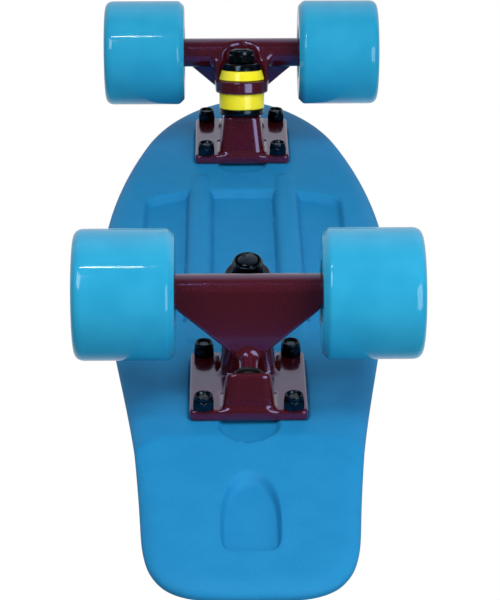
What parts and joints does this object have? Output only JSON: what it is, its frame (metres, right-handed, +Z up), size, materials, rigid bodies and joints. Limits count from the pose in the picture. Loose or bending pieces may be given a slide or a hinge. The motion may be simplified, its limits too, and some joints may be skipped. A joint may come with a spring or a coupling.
{
  "type": "cruiser skateboard",
  "caption": "Plastic mini cruiser skateboard with kicktail, ribbed underside, steering trucks on bushings and soft wheels on bearings.",
  "frame": {"origin": "centre of the box at the bottom of the wheels, where they meet the ground", "axes": "+Y towards the nose, +Z up, +X to the rider's right"},
  "size_m": [0.1584, 0.559, 0.1152],
  "materials": {
    "deck_plastic": "matte moulded blue plastic",
    "truck_metal": "glossy burgundy enamel on cast aluminium",
    "wheel_urethane": "glossy slightly translucent sky blue urethane",
    "bushing_urethane": "glossy yellow urethane",
    "cup_rubber": "black moulded rubber",
    "black_steel": "glossy black plated steel",
    "bright_steel": "bright steel"
  },
  "bodies": {
    "board": {"deck": "deck_plastic", "front_baseplate": "truck_metal", "front_pivot_cup": "cup_rubber", "front_kingpin": "black_steel", "front_kingpin_nut": "black_steel", "front_deck_side_washer": "black_steel", "front_road_side_washer": "black_steel", "front_deck_side_bushing": "bushing_urethane", "front_road_side_bushing": "bushing_urethane", "front_inboard_left_bolt": "black_steel", "front_inboard_left_lock_nut": "black_steel", "front_inboard_right_bolt": "black_steel", "front_inboard_right_lock_nut": "black_steel", "front_outboard_left_bolt": "black_steel", "front_outboard_left_lock_nut": "black_steel", "front_outboard_right_bolt": "black_steel", "front_outboard_right_lock_nut": "black_steel", "rear_baseplate": "truck_metal", "rear_pivot_cup": "cup_rubber", "rear_kingpin": "black_steel", "rear_kingpin_nut": "black_steel", "rear_deck_side_washer": "black_steel", "rear_road_side_washer": "black_steel", "rear_deck_side_bushing": "bushing_urethane", "rear_road_side_bushing": "bushing_urethane", "rear_inboard_left_bolt": "black_steel", "rear_inboard_left_lock_nut": "black_steel", "rear_inboard_right_bolt": "black_steel", "rear_inboard_right_lock_nut": "black_steel", "rear_outboard_left_bolt": "black_steel", "rear_outboard_left_lock_nut": "black_steel", "rear_outboard_right_bolt": "black_steel", "rear_outboard_right_lock_nut": "black_steel"},
    "front_hanger": {"front_hanger": "truck_metal", "front_axle": "bright_steel", "front_left_bearing_sleeve": "bright_steel", "front_left_axle_nut": "bright_steel", "front_right_bearing_sleeve": "bright_steel", "front_right_axle_nut": "bright_steel"},
    "front_left_wheel": {"front_left_wheel": "wheel_urethane", "front_left_inner_bearing": "bright_steel", "front_left_outer_bearing": "bright_steel"},
    "front_right_wheel": {"front_right_wheel": "wheel_urethane", "front_right_inner_bearing": "bright_steel", "front_right_outer_bearing": "bright_steel"},
    "rear_hanger": {"rear_hanger": "truck_metal", "rear_axle": "bright_steel", "rear_left_bearing_sleeve": "bright_steel", "rear_left_axle_nut": "bright_steel", "rear_right_bearing_sleeve": "bright_steel", "rear_right_axle_nut": "bright_steel"},
    "rear_left_wheel": {"rear_left_wheel": "wheel_urethane", "rear_left_inner_bearing": "bright_steel", "rear_left_outer_bearing": "bright_steel"},
    "rear_right_wheel": {"rear_right_wheel": "wheel_urethane", "rear_right_inner_bearing": "bright_steel", "rear_right_outer_bearing": "bright_steel"}
  },
  "joints": [
    {"name": "front_steer", "type": "hinge", "parent": "board", "child": "front_hanger", "pos_m": [0, 0.19034, 0.0662], "axis": [0, 0.8363, 0.5483], "range_deg": [-12, 12], "stiffness_Nm_per_rad": 30, "deforming": ["front_deck_side_bushing", "front_road_side_bushing"]},
    {"name": "rear_steer", "type": "hinge", "parent": "board", "child": "rear_hanger", "pos_m": [0, -0.16614, 0.0662], "axis": [0, -0.8363, 0.5483], "range_deg": [-12, 12], "stiffness_Nm_per_rad": 30, "deforming": ["rear_deck_side_bushing", "rear_road_side_bushing"]},
    {"name": "front_left_spin", "type": "hinge", "parent": "front_hanger", "child": "front_left_wheel", "pos_m": [-0.0562, 0.1771, 0.03], "axis": [1, 0, 0], "continuous": true},
    {"name": "front_right_spin", "type": "hinge", "parent": "front_hanger", "child": "front_right_wheel", "pos_m": [0.0562, 0.1771, 0.03], "axis": [1, 0, 0], "continuous": true},
    {"name": "rear_left_spin", "type": "hinge", "parent": "rear_hanger", "child": "rear_left_wheel", "pos_m": [-0.0562, -0.1529, 0.03], "axis": [1, 0, 0], "continuous": true},
    {"name": "rear_right_spin", "type": "hinge", "parent": "rear_hanger", "child": "rear_right_wheel", "pos_m": [0.0562, -0.1529, 0.03], "axis": [1, 0, 0], "continuous": true}
  ]
}
